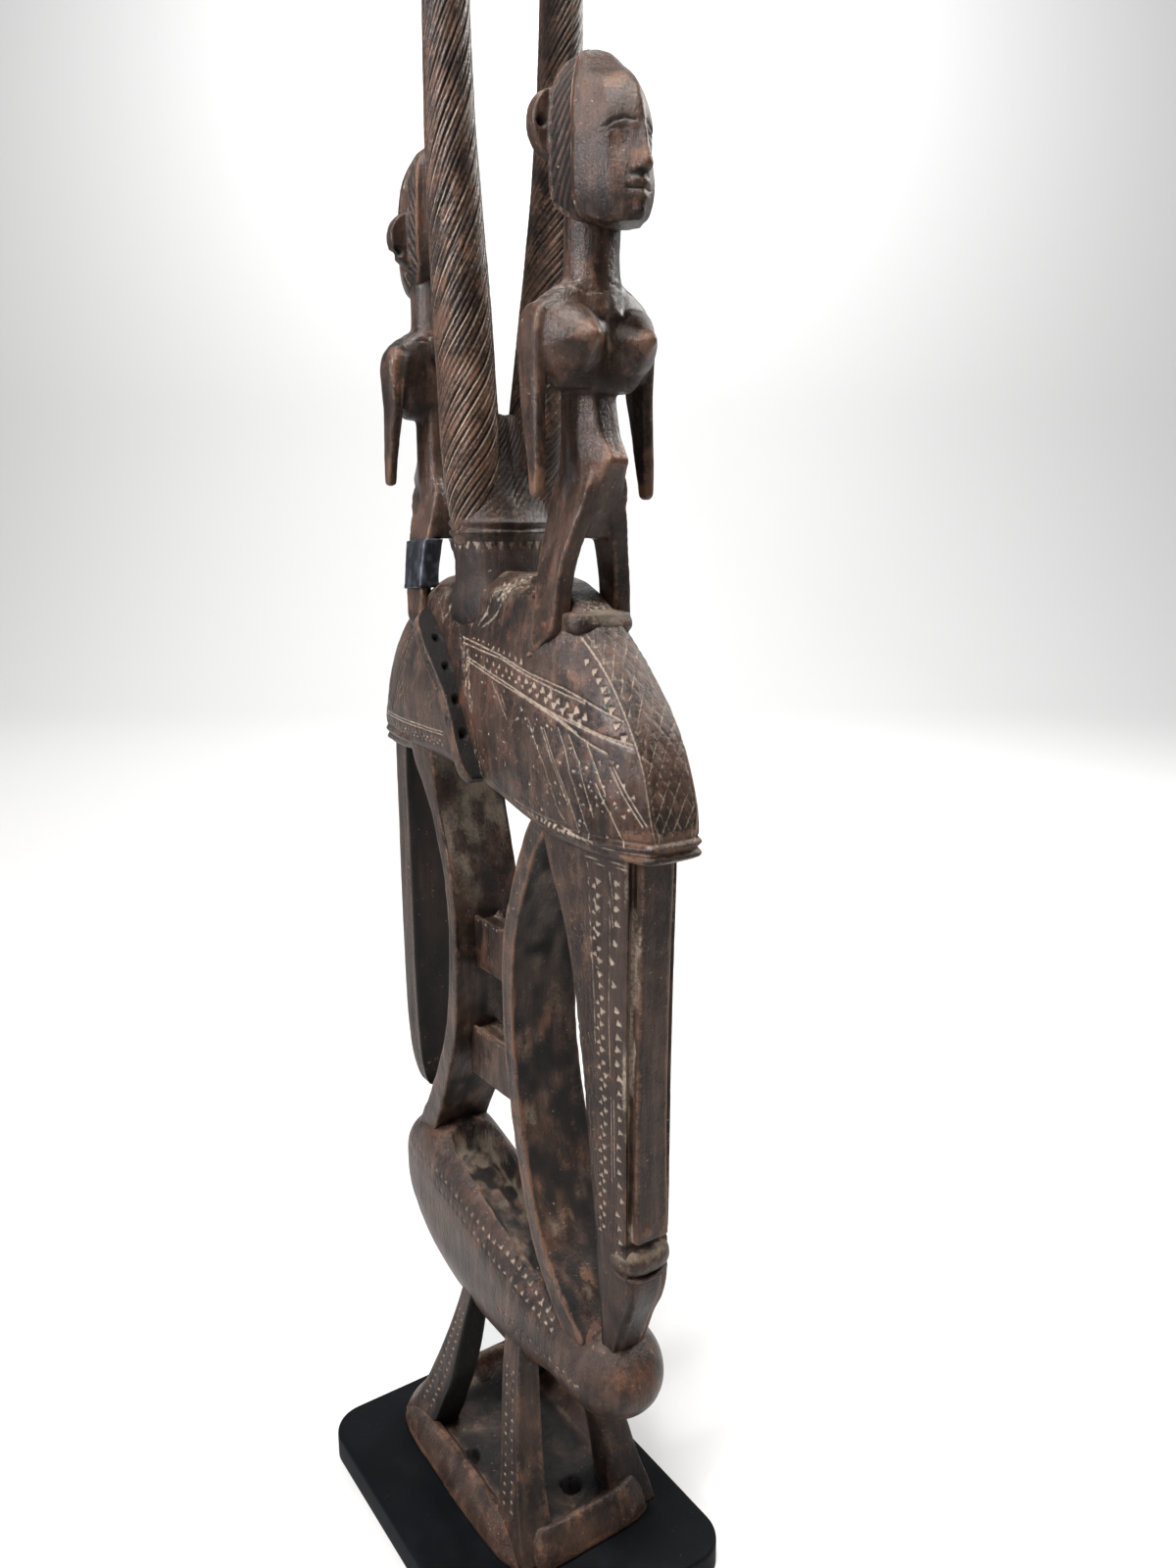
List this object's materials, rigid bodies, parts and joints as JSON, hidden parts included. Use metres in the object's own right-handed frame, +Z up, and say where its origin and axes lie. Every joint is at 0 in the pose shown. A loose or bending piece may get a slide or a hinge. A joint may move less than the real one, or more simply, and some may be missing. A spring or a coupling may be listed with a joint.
{
  "type": "chiwara headdress",
  "caption": "Carved wooden antelope dance headdress with long muzzles, tall grooved horns and standing figures, upright on a low dark display slab.",
  "frame": {"origin": "centre of the underside of the display slab", "axes": "+X towards the front of the carving, where the longer muzzle and the forward-facing figure are; +Y to the carving's left; +Z up towards the horn tips"},
  "size_m": [0.2255, 0.126, 0.912],
  "materials": {
    "dark_wood": "hand-carved dark brown-black wood, worn and waxed on the edges, dusty in the hollows",
    "stand_black": "smooth matt black paint",
    "band_metal": "thin dark blue-black sheet metal, dull gloss"
  },
  "bodies": {
    "root": {"display_stand": "stand_black", "carving": "dark_wood", "repair_band": "band_metal"}
  },
  "joints": []
}
